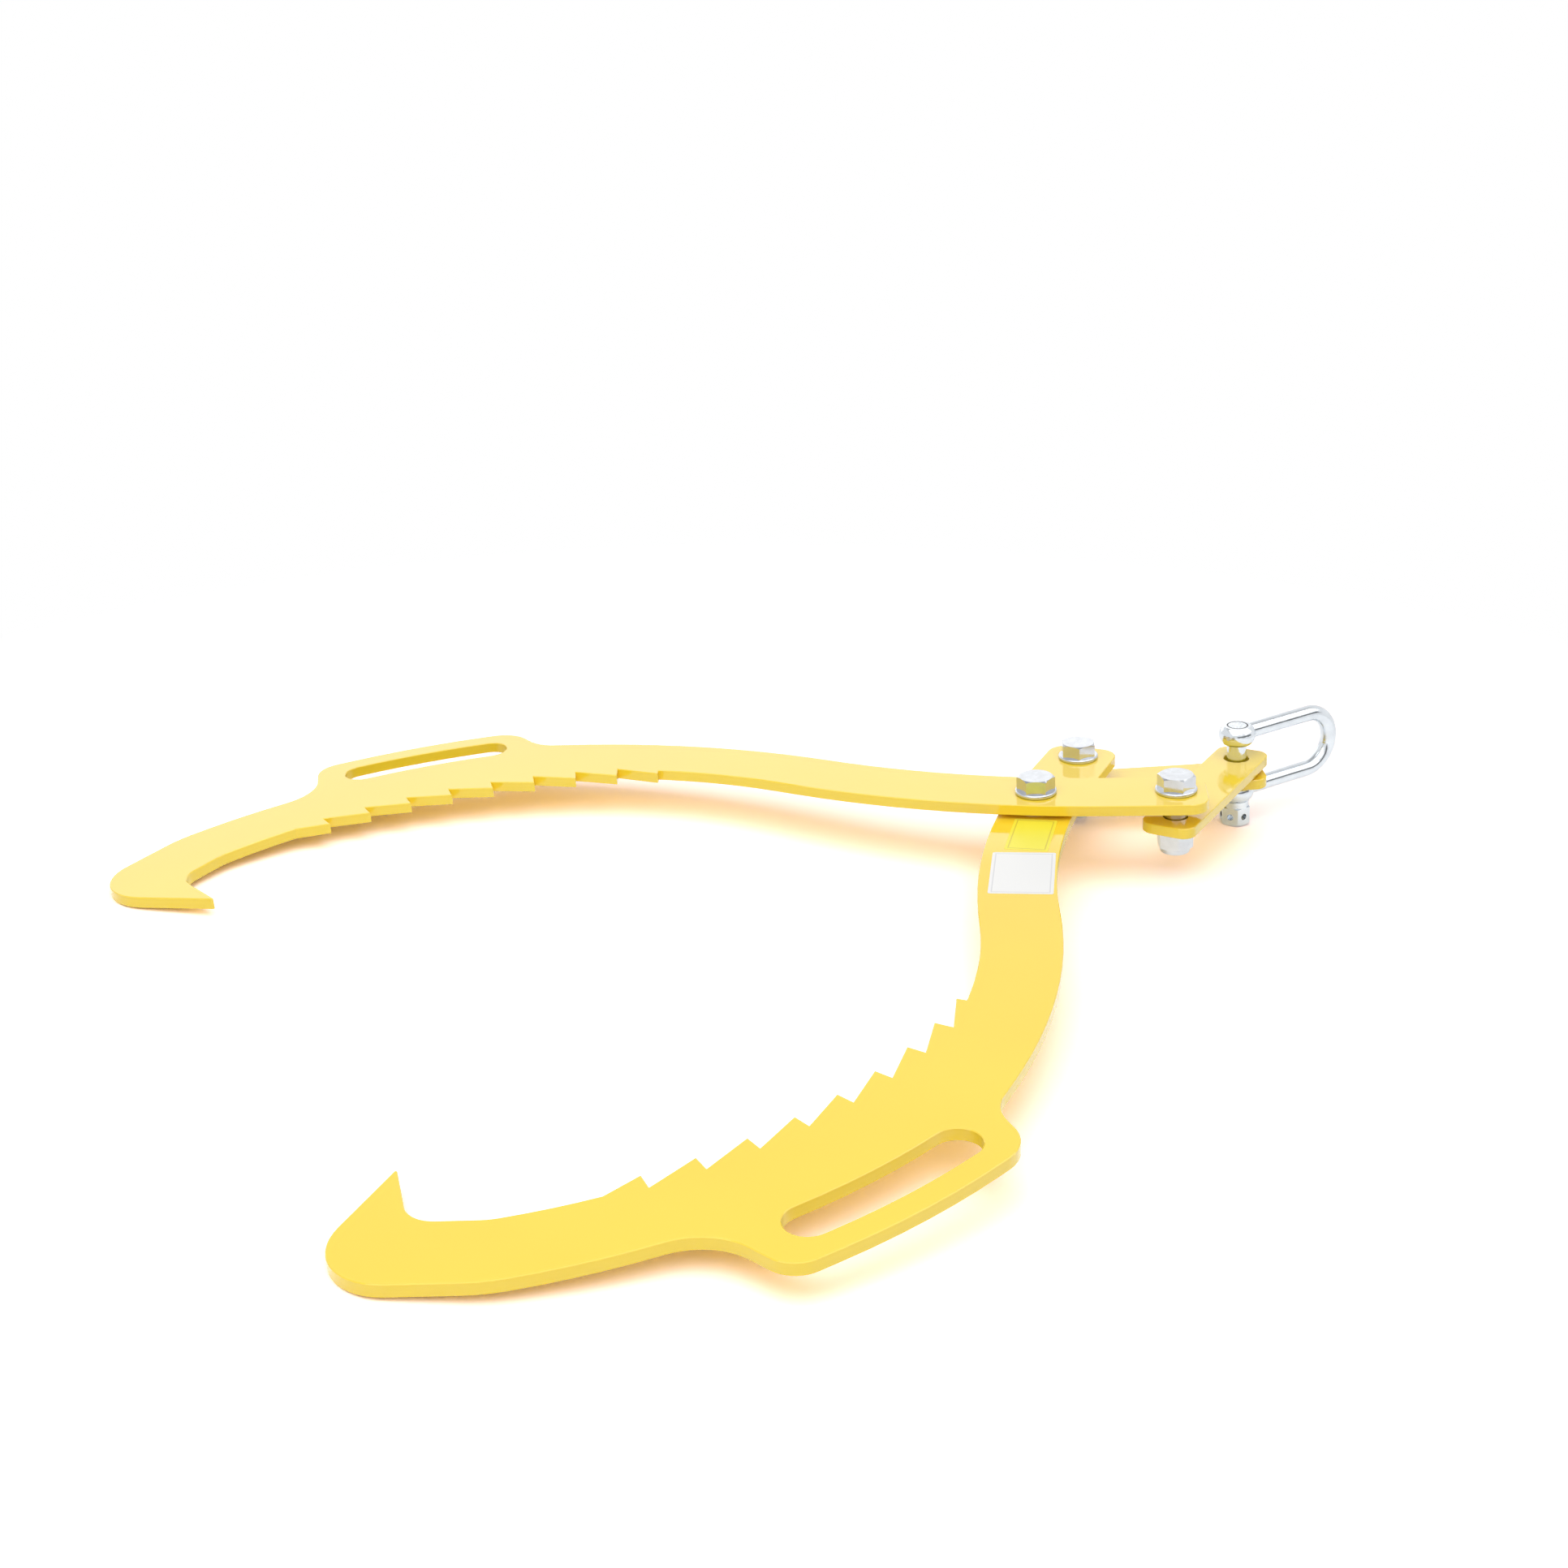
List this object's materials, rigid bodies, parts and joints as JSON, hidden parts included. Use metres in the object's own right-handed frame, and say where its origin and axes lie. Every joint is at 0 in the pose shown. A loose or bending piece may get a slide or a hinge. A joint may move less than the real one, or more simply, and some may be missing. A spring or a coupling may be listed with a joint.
{
  "type": "lifting tongs",
  "caption": "Scissor lifting tongs: toothed, hooked plate arms crossing at a bolted pivot, with links to a lifting shackle that closes the jaws as it is pulled.",
  "frame": {"origin": "the lifting point: the middle of the shackle bow's inner face, where the hook pulls", "axes": "+X is the direction of pull, from the main pivot to the shackle. +Z is square to the plates, towards the bolt heads. +Y points to the upper arm's jaw."},
  "size_m": [0.8967, 0.7566, 0.0857],
  "materials": {
    "yellow_coat": "glossy yellow powder coat on steel plate",
    "bright_zinc": "bright zinc plating",
    "shackle_zinc": "zinc plating on a forged surface",
    "nylon": "plain nylon",
    "label_film": "blank label film"
  },
  "bodies": {
    "lower_arm": {"lower_arm": "yellow_coat", "pivot_spacer_washer": "bright_zinc", "pivot_bolt": "bright_zinc", "pivot_head_washer": "bright_zinc", "pivot_nut_washer": "bright_zinc", "pivot_nut": "bright_zinc", "pivot_nut_insert": "nylon", "lower_link_bolt": "bright_zinc", "lower_link_head_washer": "bright_zinc", "lower_link_nut_washer": "bright_zinc", "lower_link_nut": "bright_zinc", "lower_link_nut_insert": "nylon"},
    "upper_arm": {"upper_arm": "yellow_coat", "upper_link_bolt": "bright_zinc", "upper_link_head_washer": "bright_zinc", "upper_link_nut_washer": "bright_zinc", "upper_link_nut": "bright_zinc", "upper_link_nut_insert": "nylon"},
    "upper_link": {"upper_link": "yellow_coat"},
    "lower_link": {"lower_link": "yellow_coat"},
    "shackle": {"shackle_bow": "shackle_zinc", "shackle_pin": "shackle_zinc"}
  },
  "joints": [
    {"name": "jaw_opening", "type": "hinge", "parent": "lower_arm", "child": "upper_arm", "pos_m": [-0.27724, 0, 0.0134], "axis": [0, 0, -1], "range_deg": [-33, 26]},
    {"name": "upper_link_swing", "type": "hinge", "parent": "upper_arm", "child": "upper_link", "pos_m": [-0.19552, -0.05764, 0.0094], "axis": [0, 0, -1], "range_deg": [-23, 29.2]},
    {"name": "lower_link_swing", "type": "hinge", "parent": "lower_arm", "child": "lower_link", "pos_m": [-0.19552, 0.05764, 0], "axis": [0, 0, -1], "range_deg": [-29.2, 23]},
    {"name": "shackle_swing", "type": "hinge", "parent": "upper_link", "child": "shackle", "pos_m": [-0.088, 0, 0], "axis": [0, 0, -1], "range_deg": [-100, 100]}
  ],
  "couplings": [
    {"joint": "upper_link_swing", "follows": "jaw_opening", "ratio": -0.8815},
    {"joint": "lower_link_swing", "follows": "jaw_opening", "ratio": 0.8815}
  ]
}
